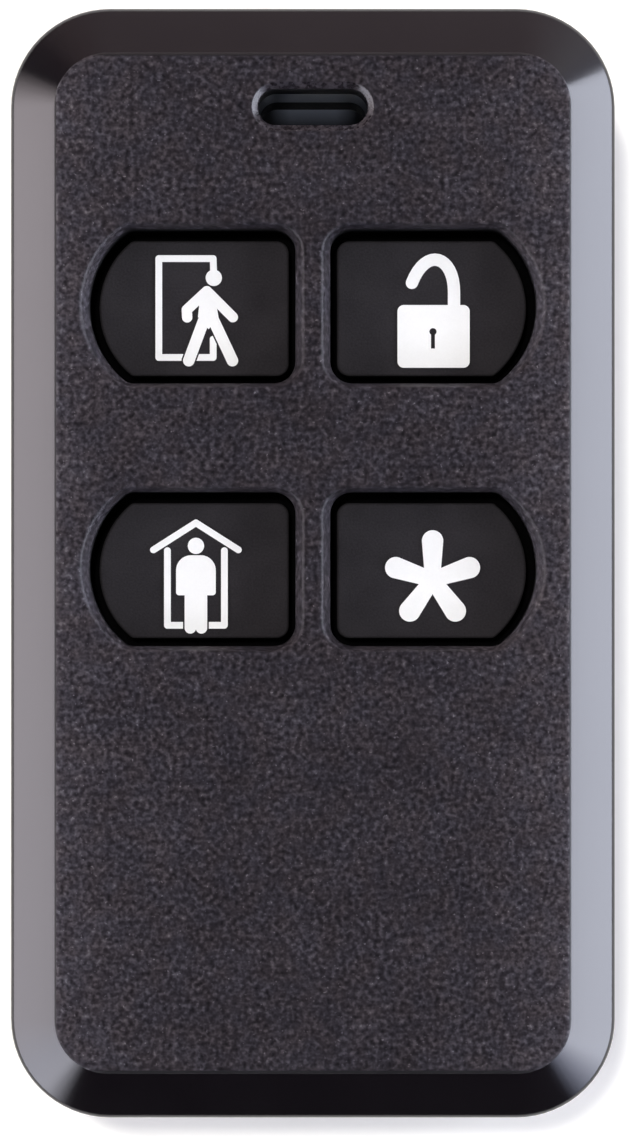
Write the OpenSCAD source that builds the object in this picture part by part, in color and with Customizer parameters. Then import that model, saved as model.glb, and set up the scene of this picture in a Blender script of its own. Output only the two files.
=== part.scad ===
// Alarm key fob with four sunk keys, lying on its back.
// X runs across it, Y toward the key-ring slot and Z out of the front face.

/* [Case] */
// Length of the case, slot end to battery end
case_l = 56; // [55:0.5:64]
// Width of the case
case_w = 30.5; // [30:0.5:36]
// Thickness of the case, back face to front face
case_t = 12; // [10.8:0.1:13.2]
// Corner radius of the case seen from the front
corner_r = 5; // [4.5:0.1:6]
// Width of the slope round the front face
bevel_w = 2.4; // [1.6:0.05:2.6]
// Drop of that slope from the face to the side
bevel_h = 1.7; // [1.3:0.05:1.9]
// Chamfer round the back face
back_chamfer = 1.2; // [0.6:0.1:1.4]
// Side wall thickness of both shells
wall = 1.5; // [1.3:0.05:1.7]
// Thickness of the front panel
face_t = 1.6; // [1.4:0.1:1.8]
// Thickness of the back panel
back_t = 1.5; // [1.3:0.1:1.7]
// Height of the parting line above the back face
split_z = 5.5; // [5:0.1:6]

/* [Key-ring slot] */
// Length of the slot across the case
slot_l = 5.5; // [4:0.1:7]
// Width of the slot
slot_w = 1.8; // [1.5:0.1:2.2]
// Distance of the slot centre from the end of the case
slot_from_end = 5.15; // [4.9:0.05:5.4]
// Wall of the tunnel round the slot
slot_wall = 1; // [0.8:0.1:1.2]
// Width of the sloped rim of the slot on the face
slot_rim_w = 0.4; // [0.2:0.05:0.6]
// Drop of that rim from the face
slot_rim_h = 0.3; // [0.2:0.05:0.5]
// Widening of the slot at the back, for the ring
slot_flare_w = 0.9; // [0.4:0.1:1.2]
// Height over which it widens
slot_flare_h = 2.7; // [2.2:0.1:3]
// Height at which the two halves of the tunnel meet
slot_joint_z = 8; // [7:0.1:9]

/* [Keys] */
// Distance of the round end of an opening from the side of the case
side_margin = 4.025; // [3.9:0.025:4.5]
// Height of a key opening
opening_h = 7.75; // [7:0.05:8.2]
// Radius of the round end of an opening
end_arc_r = 4.8; // [4.5:0.05:5.4]
// Radius of the two inner corners of an opening
inner_corner_r = 1.1; // [0.8:0.05:1.6]
// Radius where the round end meets the straight edges
outer_corner_r = 0.6; // [0.55:0.05:0.9]
// Bar of the face between the left and right openings
rib_w = 1.75; // [1.6:0.05:2]
// Distance of the upper row from the slot end of the case
upper_row_from_end = 15.1; // [14.6:0.1:15.6]
// Spacing of the two rows
row_pitch = 13.2; // [12.8:0.1:13.8]
// Gap between a key and the round end and straight edges of its opening
key_gap = 0.47; // [0.35:0.01:0.5]
// Gap between a key and the bar of the face
key_bar_gap = 0.33; // [0.2:0.01:0.35]
// Depth of the key top below the face
key_recess = 1.4; // [1.2:0.05:1.6]
// Travel of a key
key_travel = 0.35; // [0.2:0.01:0.36]
// How far the key flange reaches past the opening
flange_lip = 0.45; // [0.35:0.05:0.5]
// Thickness of the key flange and of the mat
flange_t = 0.6; // [0.4:0.05:0.7]
// Rest gap between the flange and the collar that stops it
flange_gap = 0.1; // [0.05:0.01:0.15]
// Height of the collar under the front panel
collar_h = 1.05; // [0.8:0.05:1.2]
// Height of the tallest printed legend
legend_h = 5.8; // [4.8:0.1:6]
// Thickness of the printed legends
print_t = 0.06; // [0.04:0.01:0.12]

/* [Keypad mat] */
// Gap between the mat and a key flange, where the soft skirt flexes
mat_gap = 0.2; // [0.1:0.05:0.2]
// Width of the mat above and below the rows
mat_margin = 1.8; // [1.6:0.1:2]
// Gap between the mat and the side walls
mat_clear = 0.9; // [0.6:0.1:1]
// Radius of the mat legs
leg_r = 0.6; // [0.4:0.05:0.7]

/* [Board and switches] */
// Thickness of the circuit board
board_t = 1; // [0.8:0.1:1.2]
// Gap between the board and the side walls
board_clear = 0.8; // [0.5:0.1:1]
// Side of a square switch base
switch_side = 4.5; // [4:0.1:5]
// Height of a switch base
switch_base_h = 1.5; // [1.4:0.05:1.6]
// Floor of a switch base under the dome
switch_floor = 0.5; // [0.4:0.05:0.55]
// Thickness of the steel switch cover
cover_t = 0.15; // [0.1:0.01:0.2]
// Height of the plunger top above the board
plunger_h = 2.1; // [2.05:0.05:2.3]
// Radius of the plunger stem
stem_r = 0.95; // [0.8:0.05:1.05]
// Radius of the plunger foot
foot_r = 1.5; // [1.3:0.05:1.6]
// Thickness of the plunger foot
foot_t = 0.35; // [0.25:0.05:0.4]
// Height of a snap dome
dome_h = 0.45; // [0.42:0.01:0.48]
// Radius of a snap dome at its rim
dome_r = 1.4; // [1.2:0.05:1.5]
// Sheet thickness of a snap dome
dome_t = 0.08; // [0.05:0.01:0.1]
// Radius of the posts that clamp the board
post_r = 1; // [0.8:0.05:1.1]
// Width of the printed antenna loop
track_w = 1; // [0.6:0.1:1.4]

/* [Battery] */
// Diameter of the coin cell
cell_d = 20; // [19.6:0.1:20.4]
// Gap between the cell and the end wall
cell_end_gap = 1.9; // [1.6:0.1:2.4]
// Sheet thickness of the positive clip
clip_t = 0.3; // [0.2:0.05:0.4]
// Width of the positive clip
clip_w = 5; // [4:0.5:6]
// Gap between the cell rim and the clip legs
clip_gap = 0.6; // [0.4:0.1:0.7]
// Thickness of the negative contact
contact_t = 0.2; // [0.1:0.05:0.3]
// Radius of the negative contact
contact_r = 5; // [3:0.5:8]

/* [Fasteners] */
// Distance of a screw centre from the two cavity walls
boss_inset = 3.1; // [2.9:0.1:3.3]
// Radius of the front screw boss
boss_r = 1.9; // [1.7:0.1:2]
// Radius of the screw shank
screw_r = 0.85; // [0.7:0.05:1]
// Length of the screw under its head
screw_l = 6; // [5:0.5:6.5]
// Radius of the screw head
head_r = 1.5; // [1.3:0.1:1.6]
// Thickness of the screw head
head_t = 1; // [0.8:0.1:1.2]
// Depth of the screw head under the back face
head_sink = 0.9; // [0.5:0.1:1]

/* [Hidden] */
$fn = 96;

// overshoot of cuts, sink of added pieces into their panel, and the two kinds of close fit
over = 0.5;
weld = 0.2;
slide_fit = 0.1;
screw_fit = 0.15;
thread_fit = 0.02;

// stack of heights, down from the face to the board, with the coin cell in what is left over the back panel
inner_z = case_t - face_t;
key_top = case_t - key_recess;
bevel_z = case_t - bevel_h;
collar_z = inner_z - collar_h;
flange_top = collar_z - flange_gap;
flange_z = flange_top - flange_t;
nub_h = key_travel;
nub_z = flange_z - nub_h;
board_top = nub_z - plunger_h;
board_z = board_top - board_t;
contact_z = board_z - contact_t;
clip_z = back_t;
cell_z = clip_z + clip_t;
cell_h = contact_z - cell_z;

// plan of the cavity
cavity_w = case_w - 2 * wall;
cavity_l = case_l - 2 * wall;
cavity_r = corner_r - wall;
cavity_slope = 0.7;
cavity_bevel_h = cavity_slope * bevel_h;
cavity_bevel_w = cavity_slope * bevel_w;

// rows and columns of keys: leave, unlock, stay, auxiliary
upper_row = case_l / 2 - upper_row_from_end;
lower_row = upper_row - row_pitch;
mid_row = (upper_row + lower_row) / 2;
opening_w = case_w / 2 - side_margin - rib_w / 2;
key_x = rib_w / 2 + opening_w / 2;
side = [-1, 1, -1, 1];
row = [upper_row, upper_row, lower_row, lower_row];
collar_t = 0.8;
nub_r = 1.2;

// key-ring slot
slot_y = case_l / 2 - slot_from_end;
slot_span = slot_l - slot_w;

// parting lip and snap tabs
lip_share = 0.43;
lip_t = lip_share * wall;
lip_h = 0.8;
tab_x = 8;
tab_w = 3;
tab_t = 0.8;
tab_h = 2.5;
tab_nib = 0.45;
nib_h = 1;

// screws and bosses
boss_x = cavity_w / 2 - boss_inset;
boss_y = -(cavity_l / 2 - boss_inset);
head_z = head_sink + head_t;
boss_skin = 0.75;
boss_land = 1.7;
rear_boss_r = head_r + screw_fit + boss_skin;
rear_boss_z = head_z + boss_land;
cross_l = 1.65;
cross_w = 0.4;
cross_d = 0.5;

// keypad mat
mat_w = cavity_w - 2 * mat_clear;
mat_reach = opening_h / 2 + flange_lip + mat_margin;
mat_l = row_pitch + 2 * mat_reach;
mat_r = 1.5;
leg_edge = 0.2;
mat_edge_leg = mat_reach - leg_r - leg_edge;

// board, supports and switches
board_w = cavity_w - 2 * board_clear;
board_hi = slot_y - slot_w / 2 - slot_wall - board_clear;
board_lo = -(cavity_l / 2 - board_clear);
board_l = board_hi - board_lo;
board_r = 1;
notch_gap = 0.4;
board_notch = boss_r + notch_gap;
post_inset = 2.6;
post_x = cavity_w / 2 - post_inset;
support_step = 0.2;
support_r = post_r + support_step;
stem_fit = 0.25;
stem_hole_r = stem_r + stem_fit;
foot_fit = 0.3;
dome_well_r = foot_r + foot_fit;
dome_rest = 0.03;
dome_sphere = (dome_r * dome_r + dome_h * dome_h) / (2 * dome_h);
terminal_l = 0.9;
terminal_w = 0.7;
terminal_t = 0.2;
terminal_pitch = 3;

// battery
cell_r = cell_d / 2;
cell_y = -(cavity_l / 2 - cell_end_gap - cell_r);
cell_edge = 0.3;
cap_inset = 1.2;
cap_rise = 0.3;
rib_gap = 0.4;
rib_t = 0.7;
rib_h = 1.2;
foot_l = 1.3;

// posts that clamp the board: beside the middle of the mat, and below the clip
post_gap = 0.4;
post_y = [mid_row, cell_y - clip_w / 2 - support_r - post_gap];

// board components: [width, length, height]
radio_size = [4, 4, 0.9];
controller_size = [4.4, 5, 1];
lead_size = [1, 0.3, 0.2];
lead_pitch = 0.65;
lead_count = 7;
crystal_size = [3.2, 2.5, 0.8];
lamp_size = [1.6, 0.8, 0.6];
capacitor_size = [1, 0.5, 0.5];
capacitor_count = 4;
capacitor_pitch = 1.4;
track_t = 0.1;
loop_edge = 0.6;
loop_w = 2 * (boss_x - board_notch - loop_edge);
loop_top = lower_row - mat_reach - loop_edge;
loop_lo = board_lo + loop_edge;
loop_feed = 3;
chip_clear = 0.4;
chip_pitch = 4.6;
chip_reach = loop_w / 2 - track_w - chip_clear;
radio_x = chip_reach - radio_size[0] / 2;
controller_x = -(chip_reach - controller_size[0] / 2 - lead_size[0] / 2);
chip_row = loop_top - track_w - chip_clear - controller_size[1] / 2;
crystal_row = chip_row - chip_pitch;

// legend strokes, measured from each key centre and drawn for the height drawn_h
drawn_h = 5.8;
legend_scale = legend_h / drawn_h;
line_r = 0.17;
limb_r = 0.26;
leg_stroke_r = 0.29;
line_gap = 0.08;
head_dot_r = 0.41;

// plan shapes
module rounded_rect(w, l, r) {
    square([w - 2 * r, l], center = true);
    square([w, l - 2 * r], center = true);
    for (x = [-1, 1], y = [-1, 1])
        translate([x * (w / 2 - r), y * (l / 2 - r)]) circle(r);
}

module pill(r) {
    square([slot_span, 2 * r], center = true);
    for (x = [-1, 1])
        translate([x * slot_span / 2, 0]) circle(r);
}

// opening outline with its inner edge on x = 0 and its round end toward +x, grown all round
module key_outline(grow) {
    half_h = opening_h / 2 + grow;
    arc_r = end_arc_r + grow;
    in_r = inner_corner_r + grow;
    out_r = outer_corner_r + grow;
    arc_x = opening_w - end_arc_r;
    out_x = arc_x + sqrt(pow(arc_r - out_r, 2) - pow(half_h - out_r, 2));
    reach_x = arc_x + 2 * (out_x - arc_x);
    reach_y = 2 * (half_h - out_r);
    translate([in_r - grow, -half_h]) square([out_x - in_r + grow, 2 * half_h]);
    translate([-grow, in_r - half_h]) square([out_x + grow, 2 * (half_h - in_r)]);
    for (s = [-1, 1]) {
        translate([in_r - grow, s * (half_h - in_r)]) circle(in_r);
        translate([out_x, s * (half_h - out_r)]) circle(out_r);
    }
    intersection() {
        translate([arc_x, 0]) circle(arc_r);
        polygon([[arc_x, 0], [reach_x, -reach_y], [2 * opening_w, 0], [reach_x, reach_y]]);
    }
}

// a stroke with round ends
module stroke(a, b, r) {
    d = b - a;
    for (p = [a, b])
        translate(p) circle(r);
    translate(a) rotate(atan2(d[1], d[0])) translate([0, -r]) square([norm(d), 2 * r]);
}

// solid helpers
module slab(z, h) {
    translate([0, 0, z]) linear_extrude(h) children();
}

// four-sided slope with round corners: full size below, inset all round at the top
module sloped_slab(w, l, r, inset, h) {
    for (x = [-1, 1], y = [-1, 1])
        translate([x * (w / 2 - r), y * (l / 2 - r), 0]) cylinder(h = h, r1 = r, r2 = r - inset);
    rotate([90, 0, 0]) linear_extrude(l - 2 * r, center = true)
        polygon([[-w / 2, 0], [w / 2, 0], [w / 2 - inset, h], [inset - w / 2, h]]);
    rotate([90, 0, 90]) linear_extrude(w - 2 * r, center = true)
        polygon([[-l / 2, 0], [l / 2, 0], [l / 2 - inset, h], [inset - l / 2, h]]);
}

// widening of the slot over a height, open toward +z from its start
module slot_widening(widen, h) {
    r = slot_w / 2;
    reach = h + over;
    far_r = r + widen * reach / h;
    for (x = [-1, 1])
        translate([x * slot_span / 2, 0, 0]) cylinder(h = reach, r1 = r, r2 = far_r);
    rotate([90, 0, 90]) linear_extrude(slot_span, center = true)
        polygon([[-r, 0], [r, 0], [far_r, reach], [-far_r, reach]]);
}

module at_key(i) {
    translate([side[i] * rib_w / 2, row[i], 0]) mirror([side[i] < 0 ? 1 : 0, 0, 0]) children();
}

module at_switch(i) {
    translate([side[i] * key_x, row[i], board_top]) children();
}

module at_legend(i) {
    translate([side[i] * key_x, row[i], key_top]) scale(legend_scale) children();
}

module ink() {
    linear_extrude(print_t / legend_scale) children();
}

module at_bosses() {
    for (x = [-1, 1])
        translate([x * boss_x, boss_y, 0]) children();
}

// case
module front_body() {
    slab(split_z, bevel_z - split_z) rounded_rect(case_w, case_l, corner_r);
    translate([0, 0, bevel_z]) sloped_slab(case_w, case_l, corner_r, bevel_w, bevel_h);
}

module front_cavity() {
    slab(split_z - over, inner_z - cavity_bevel_h - split_z + over)
        rounded_rect(cavity_w, cavity_l, cavity_r);
    translate([0, 0, inner_z - cavity_bevel_h])
        sloped_slab(cavity_w, cavity_l, cavity_r, cavity_bevel_w, cavity_bevel_h);
    slab(split_z - over, lip_h + slide_fit + over)
        rounded_rect(cavity_w + 2 * (lip_t + slide_fit), cavity_l + 2 * (lip_t + slide_fit),
            cavity_r + lip_t + slide_fit);
}

module front_shell() color("#38363a") difference() {
    union() {
        difference() {
            front_body();
            front_cavity();
        }
        for (i = [0 : 3])
            at_key(i) slab(collar_z, inner_z + weld - collar_z) key_outline(collar_t);
        translate([0, slot_y, 0]) slab(slot_joint_z, inner_z + weld - slot_joint_z)
            pill(slot_w / 2 + slot_wall);
        for (x = [-1, 1], y = post_y)
            translate([x * post_x, y, board_top])
                cylinder(h = inner_z + weld - board_top, r = post_r);
        at_bosses() translate([0, 0, rear_boss_z])
            cylinder(h = inner_z + weld - rear_boss_z, r = boss_r);
    }
    for (i = [0 : 3])
        at_key(i) slab(collar_z - over, case_t - collar_z + 2 * over) key_outline(0);
    translate([0, slot_y, 0]) slab(slot_joint_z - over, case_t - slot_joint_z + 2 * over)
        pill(slot_w / 2);
    translate([0, slot_y, case_t - slot_rim_h]) slot_widening(slot_rim_w, slot_rim_h);
    at_bosses() translate([0, 0, rear_boss_z - over])
        cylinder(h = head_z + screw_l + over - rear_boss_z + over, r = screw_r + thread_fit);
    for (x = [-1, 1])
        translate([x * tab_x, cavity_l / 2, split_z + tab_h - nib_h / 2])
            cube([tab_w + 4 * slide_fit, 2 * tab_nib, nib_h + 2 * slide_fit], center = true);
}

module snap_tab() {
    root = slide_fit + tab_t;
    translate([-tab_w / 2, -root, back_t - weld]) cube([tab_w, root + weld, split_z - back_t + weld]);
    translate([-tab_w / 2, -root, split_z - weld]) cube([tab_w, tab_t, tab_h + weld]);
    translate([0, -slide_fit, split_z + tab_h - nib_h]) rotate([90, 0, 90])
        linear_extrude(tab_w, center = true)
            polygon([[-weld, 0], [0, 0], [tab_nib, nib_h / 2], [0, nib_h], [-weld, nib_h]]);
}

module rear_shell() color("#302f33") difference() {
    union() {
        difference() {
            union() {
                translate([0, 0, back_chamfer]) mirror([0, 0, 1])
                    sloped_slab(case_w, case_l, corner_r, back_chamfer, back_chamfer);
                slab(back_chamfer, split_z - back_chamfer) rounded_rect(case_w, case_l, corner_r);
            }
            slab(back_t, split_z - back_t + over) rounded_rect(cavity_w, cavity_l, cavity_r);
        }
        slab(split_z - weld, lip_h + weld) difference() {
            rounded_rect(cavity_w + 2 * lip_t, cavity_l + 2 * lip_t, cavity_r + lip_t);
            rounded_rect(cavity_w, cavity_l, cavity_r);
        }
        for (x = [-1, 1])
            translate([x * tab_x, cavity_l / 2, 0]) snap_tab();
        translate([0, slot_y, 0]) slab(back_t - weld, slot_joint_z - back_t + weld)
            pill(slot_w / 2 + slot_wall);
        for (x = [-1, 1], y = post_y)
            translate([x * post_x, y, back_t - weld])
                cylinder(h = board_z - back_t + weld, r = support_r);
        at_bosses() translate([0, 0, back_t - weld])
            cylinder(h = rear_boss_z - back_t + weld, r = rear_boss_r);
        difference() {
            translate([0, cell_y, back_t - weld])
                cylinder(h = rib_h + weld, r = cell_r + rib_gap + rib_t);
            translate([0, cell_y, back_t - over])
                cylinder(h = rib_h + 2 * over, r = cell_r + rib_gap);
            translate([0, cell_y, back_t])
                cube([4 * cell_r, clip_w + 4 * slide_fit, 2 * rib_h + over], center = true);
        }
    }
    translate([0, slot_y, 0]) slab(-over, slot_joint_z + 2 * over) pill(slot_w / 2);
    translate([0, slot_y, slot_flare_h]) mirror([0, 0, 1]) slot_widening(slot_flare_w, slot_flare_h);
    at_bosses() {
        translate([0, 0, -over]) cylinder(h = head_z + over, r = head_r + screw_fit);
        translate([0, 0, -over]) cylinder(h = rear_boss_z + 2 * over, r = screw_r + screw_fit);
    }
}

module case_screws() color("#8d9094") at_bosses() difference() {
    union() {
        translate([0, 0, head_sink]) cylinder(h = head_t, r = head_r);
        translate([0, 0, head_z - weld]) cylinder(h = screw_l + weld, r = screw_r);
    }
    for (a = [0, 90])
        translate([0, 0, head_sink]) rotate(a) cube([cross_l, cross_w, 2 * cross_d], center = true);
}

// keypad
module key(i) color("#2c292e") {
    at_key(i) {
        slab(flange_top - weld, key_top - flange_top + weld)
            for (x = [0, key_bar_gap - key_gap])
                translate([x, 0]) key_outline(-key_gap);
        slab(flange_z, flange_t) key_outline(flange_lip);
    }
    translate([side[i] * key_x, row[i], nub_z]) cylinder(h = nub_h + weld, r = nub_r);
}

module keypad_mat() color("#3a373c") difference() {
    union() {
        translate([0, mid_row, 0]) slab(flange_z, flange_t) rounded_rect(mat_w, mat_l, mat_r);
        for (x = [-1, 1], y = [-1, 1])
            translate([x * key_x, mid_row + y * (row_pitch / 2 + mat_edge_leg), board_top])
                cylinder(h = flange_z + weld - board_top, r = leg_r);
        for (x = [-1, 1])
            translate([x * key_x, mid_row, board_top])
                cylinder(h = flange_z + weld - board_top, r = leg_r);
    }
    for (i = [0 : 3])
        at_key(i) slab(flange_z - over, flange_t + 2 * over) key_outline(flange_lip + mat_gap);
    for (x = [-1, 1])
        translate([x * post_x, mid_row, flange_z - over])
            cylinder(h = flange_t + 2 * over, r = post_r + slide_fit);
}

// person stepping out of a door frame
module away_shape() {
    door = [-1.71, -2.54, 1.03, 2.44];
    stub = -1.62;
    head = [1.06, 1.47];
    neck = [0.71, 0.8];
    elbow = [-0.3, -0.14];
    hand = [-0.28, -0.52];
    far_hand = [2.02, -0.51];
    hips = [[0.62, -0.5], [0.97, -0.5]];
    feet = [[-0.2, -2.7], [2, -2.7]];
    chest = [[0.36, 0.4], [1.14, 0.4]];
    waist = [[0.26, -0.5], [1.3, -0.5]];
    crotch = [0.8, -1.12];
    ink() difference() {
        union() {
            stroke([door[0], door[1]], [door[0], door[3]], line_r);
            stroke([door[0], door[3]], [door[2], door[3]], line_r);
            stroke([door[2], door[3]], head, line_r);
            stroke([door[0], door[1]], [door[2], door[1]], line_r);
            stroke([door[2], door[1]], [door[2], stub], line_r);
        }
        for (k = [0, 1])
            stroke(hips[k], feet[k], leg_stroke_r + line_gap);
    }
    ink() translate(head) circle(head_dot_r);
    ink() stroke(neck, elbow, limb_r);
    ink() stroke(elbow, hand, limb_r);
    ink() stroke(neck, far_hand, limb_r);
    for (k = [0, 1])
        ink() stroke(hips[k], feet[k], leg_stroke_r);
    ink() polygon([waist[0], chest[0], neck, chest[1], waist[1], crotch]);
}

// padlock with its shackle swung open: the arch is a cubic curve, and its free end is round
function arch(t, p) = pow(1 - t, 3) * p[0] + 3 * t * pow(1 - t, 2) * p[1]
    + 3 * t * t * (1 - t) * p[2] + pow(t, 3) * p[3];
function arch_slope(t, p) = pow(1 - t, 2) * (p[1] - p[0]) + 2 * t * (1 - t) * (p[2] - p[1])
    + t * t * (p[3] - p[2]);
function arch_side(t, p, r) = let (d = arch_slope(t, p)) arch(t, p) + r * [-d[1], d[0]] / norm(d);
function arch_cap(a, p, r) = let (d = arch_slope(1, p), e = atan2(d[1], d[0]) + 90 - a)
    p[3] + r * [cos(e), sin(e)];

module disarm_shape() {
    lock_w = 3.64;
    lock_h = 3.16;
    lock_r = 0.32;
    lock_mid = [0.03, -1.48];
    shackle_r = 0.31;
    hole_r = 0.18;
    hole_y = -1.24;
    stem_y = -2.09;
    stem_w = 0.1;
    leg_x = 1.06;
    leg_foot = -0.3;
    curve = [[leg_x, 0.75], [leg_x, 2.6], [-0.35, 3.05], [-1.06, 1.22]];
    steps = 16;
    ink() difference() {
        translate(lock_mid) rounded_rect(lock_w, lock_h, lock_r);
        translate([0, hole_y]) circle(hole_r);
        translate([-stem_w, stem_y]) square([2 * stem_w, hole_y - stem_y]);
    }
    ink() polygon(concat(
        [[leg_x - shackle_r, leg_foot]],
        [for (k = [0 : steps]) arch_side(k / steps, curve, shackle_r)],
        [for (k = [1 : steps - 1]) arch_cap(180 * k / steps, curve, shackle_r)],
        [for (k = [steps : -1 : 0]) arch_side(k / steps, curve, -shackle_r)],
        [[leg_x + shackle_r, leg_foot]]));
}

// person standing in a house
module stay_shape() {
    mid = 0.16;
    eave = 2.14;
    eave_y = 0.97;
    ridge_y = 2.33;
    house = 1.435;
    floor_y = -2.83;
    wall_top = 0.93;
    head_y = 1.17;
    body_w = 1;
    body_top = 0.7;
    body_lo = -1.32;
    shoulder_r = 0.76;
    hem_r = 0.16;
    feet_y = -3.25;
    foot_w = 0.29;
    foot_x = 0.28;
    ink() translate([mid, 0]) {
        stroke([-eave, eave_y], [0, ridge_y], line_r);
        stroke([eave, eave_y], [0, ridge_y], line_r);
        difference() {
            union() {
                for (s = [-1, 1])
                    stroke([s * house, wall_top], [s * house, floor_y], line_r);
                stroke([-house, floor_y], [house, floor_y], line_r);
            }
            translate([-foot_x - foot_w - line_gap, feet_y])
                square([2 * (foot_x + foot_w + line_gap), body_lo - feet_y]);
        }
        translate([0, head_y]) circle(head_dot_r);
        for (s = [-1, 1]) {
            translate([s * (body_w - shoulder_r), body_top - shoulder_r]) circle(shoulder_r);
            translate([s * (body_w - hem_r), body_lo + hem_r]) circle(hem_r);
            stroke([s * foot_x, body_lo], [s * foot_x, feet_y + foot_w], foot_w);
        }
        translate([shoulder_r - body_w, body_top - shoulder_r])
            square([2 * (body_w - shoulder_r), shoulder_r]);
        translate([-body_w, body_lo + hem_r])
            square([2 * body_w, body_top - shoulder_r - body_lo - hem_r]);
        translate([hem_r - body_w, body_lo]) square([2 * (body_w - hem_r), 2 * hem_r]);
        translate([-foot_x, feet_y + foot_w]) square([2 * foot_x, body_lo - feet_y - foot_w]);
    }
}

// five-arm star with arms that widen outward
module aux_shape() {
    star_mid = [-0.02, -0.53];
    arm = 1.95;
    tip_r = 0.54;
    root_w = 0.38;
    ink() translate(star_mid) for (k = [0 : 4])
        rotate(90 + 72 * k) {
            translate([arm, 0]) circle(tip_r);
            polygon([[0, -root_w], [arm, -tip_r], [arm, tip_r], [0, root_w]]);
        }
}

// switches
module switch_base(i) color("#1b1b1d") at_switch(i) difference() {
    translate([0, 0, switch_base_h / 2]) cube([switch_side, switch_side, switch_base_h], center = true);
    translate([0, 0, switch_floor]) cylinder(h = switch_base_h, r = dome_well_r);
}

module switch_cover(i) color("#b9bcc0") at_switch(i) difference() {
    translate([0, 0, switch_base_h + cover_t / 2]) cube([switch_side, switch_side, cover_t], center = true);
    translate([0, 0, switch_base_h - over]) cylinder(h = cover_t + 2 * over, r = stem_hole_r);
}

module plunger(i) color("#3c3c40") at_switch(i) {
    foot_z = switch_floor + dome_h + dome_rest;
    translate([0, 0, foot_z]) cylinder(h = foot_t, r = foot_r);
    translate([0, 0, foot_z]) cylinder(h = plunger_h - foot_z, r = stem_r);
}

module dome(i) color("#c7c9cc") at_switch(i) translate([0, 0, switch_floor]) difference() {
    intersection() {
        translate([0, 0, dome_h - dome_sphere]) sphere(dome_sphere);
        cylinder(h = 2 * dome_h, r = dome_r);
    }
    translate([0, 0, dome_h - dome_sphere]) sphere(dome_sphere - dome_t);
}

module switch_terminals() color("#c9c6bd") for (i = [0 : 3])
    at_switch(i) for (x = [-1, 1], y = [-1, 1])
        translate([x * (switch_side + terminal_l) / 2, y * terminal_pitch / 2, terminal_t / 2])
            cube([terminal_l, terminal_w, terminal_t], center = true);

// board and its components
module circuit_board() color("#1f5a3a") slab(board_z, board_t) difference() {
    translate([0, (board_hi + board_lo) / 2]) rounded_rect(board_w, board_l, board_r);
    for (x = [-1, 1])
        translate([x * (boss_x + board_w / 2), boss_y - board_w / 2 + board_notch])
            square([board_w + 2 * board_notch, board_w], center = true);
}

module on_board(x, y, size) {
    translate([x, y, board_top + size[2] / 2]) cube(size, center = true);
}

module radio_chip() color("#19191b") on_board(radio_x, chip_row, radio_size);

module controller_chip() color("#19191b") {
    on_board(controller_x, chip_row, controller_size);
    for (s = [-1, 1], k = [0 : lead_count - 1])
        on_board(controller_x + s * controller_size[0] / 2,
            chip_row + (k - (lead_count - 1) / 2) * lead_pitch, lead_size);
}

module crystal() color("#b5b7ba") on_board(radio_x, crystal_row, crystal_size);

module chip_capacitors() color("#a98a63") for (k = [0 : capacitor_count - 1])
    on_board(controller_x + (k - (capacitor_count - 1) / 2) * capacitor_pitch, crystal_row, capacitor_size);

module indicator_lamp() color("#e8e3d2") on_board(0, mid_row, lamp_size);

module antenna_loop() color("#b87840") slab(board_top, track_t) difference() {
    translate([0, (loop_top + loop_lo) / 2]) difference() {
        square([loop_w, loop_top - loop_lo], center = true);
        square([loop_w - 2 * track_w, loop_top - loop_lo - 2 * track_w], center = true);
    }
    translate([0, loop_top]) square([loop_feed, 4 * track_w], center = true);
}

// battery
module coin_cell() color("#c3c5c8") translate([0, cell_y, cell_z]) rotate_extrude() polygon([
    [0, 0], [cell_r - cell_edge, 0], [cell_r, cell_edge], [cell_r, cell_h - cap_rise - cell_edge],
    [cell_r - cell_edge, cell_h - cap_rise], [cell_r - cap_inset, cell_h - cap_rise],
    [cell_r - cap_inset - cell_edge, cell_h], [0, cell_h]]);

module battery_clip() color("#b9bcc0") {
    leg = cell_r + clip_gap;
    foot = leg + clip_t + foot_l;
    translate([0, cell_y, 0]) rotate([90, 0, 0]) linear_extrude(clip_w, center = true) polygon([
        [-leg - clip_t, clip_z], [leg + clip_t, clip_z], [leg + clip_t, board_z - clip_t],
        [foot, board_z - clip_t], [foot, board_z], [leg, board_z], [leg, clip_z + clip_t],
        [-leg, clip_z + clip_t], [-leg, board_z], [-foot, board_z], [-foot, board_z - clip_t],
        [-leg - clip_t, board_z - clip_t]]);
}

module negative_contact() color("#c9b37a") translate([0, cell_y, contact_z])
    cylinder(h = contact_t, r = contact_r);

front_shell();
rear_shell();
case_screws();
keypad_mat();
key(0);  // away_key
key(1);  // disarm_key
key(2);  // stay_key
key(3);  // aux_key
color("#f2f2f0") at_legend(0) away_shape();  // away_legend
color("#f2f2f0") at_legend(1) disarm_shape();  // disarm_legend
color("#f2f2f0") at_legend(2) stay_shape();  // stay_legend
color("#f2f2f0") at_legend(3) aux_shape();  // aux_legend
plunger(0);  // away_plunger
plunger(1);  // disarm_plunger
plunger(2);  // stay_plunger
plunger(3);  // aux_plunger
dome(0);  // away_dome
dome(1);  // disarm_dome
dome(2);  // stay_dome
dome(3);  // aux_dome
switch_base(0);  // away_switch
switch_base(1);  // disarm_switch
switch_base(2);  // stay_switch
switch_base(3);  // aux_switch
switch_cover(0);  // away_switch_cover
switch_cover(1);  // disarm_switch_cover
switch_cover(2);  // stay_switch_cover
switch_cover(3);  // aux_switch_cover
switch_terminals();
circuit_board();
radio_chip();
controller_chip();
crystal();
chip_capacitors();
indicator_lamp();
antenna_loop();
coin_cell();
battery_clip();
negative_contact();
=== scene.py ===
import math

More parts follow.
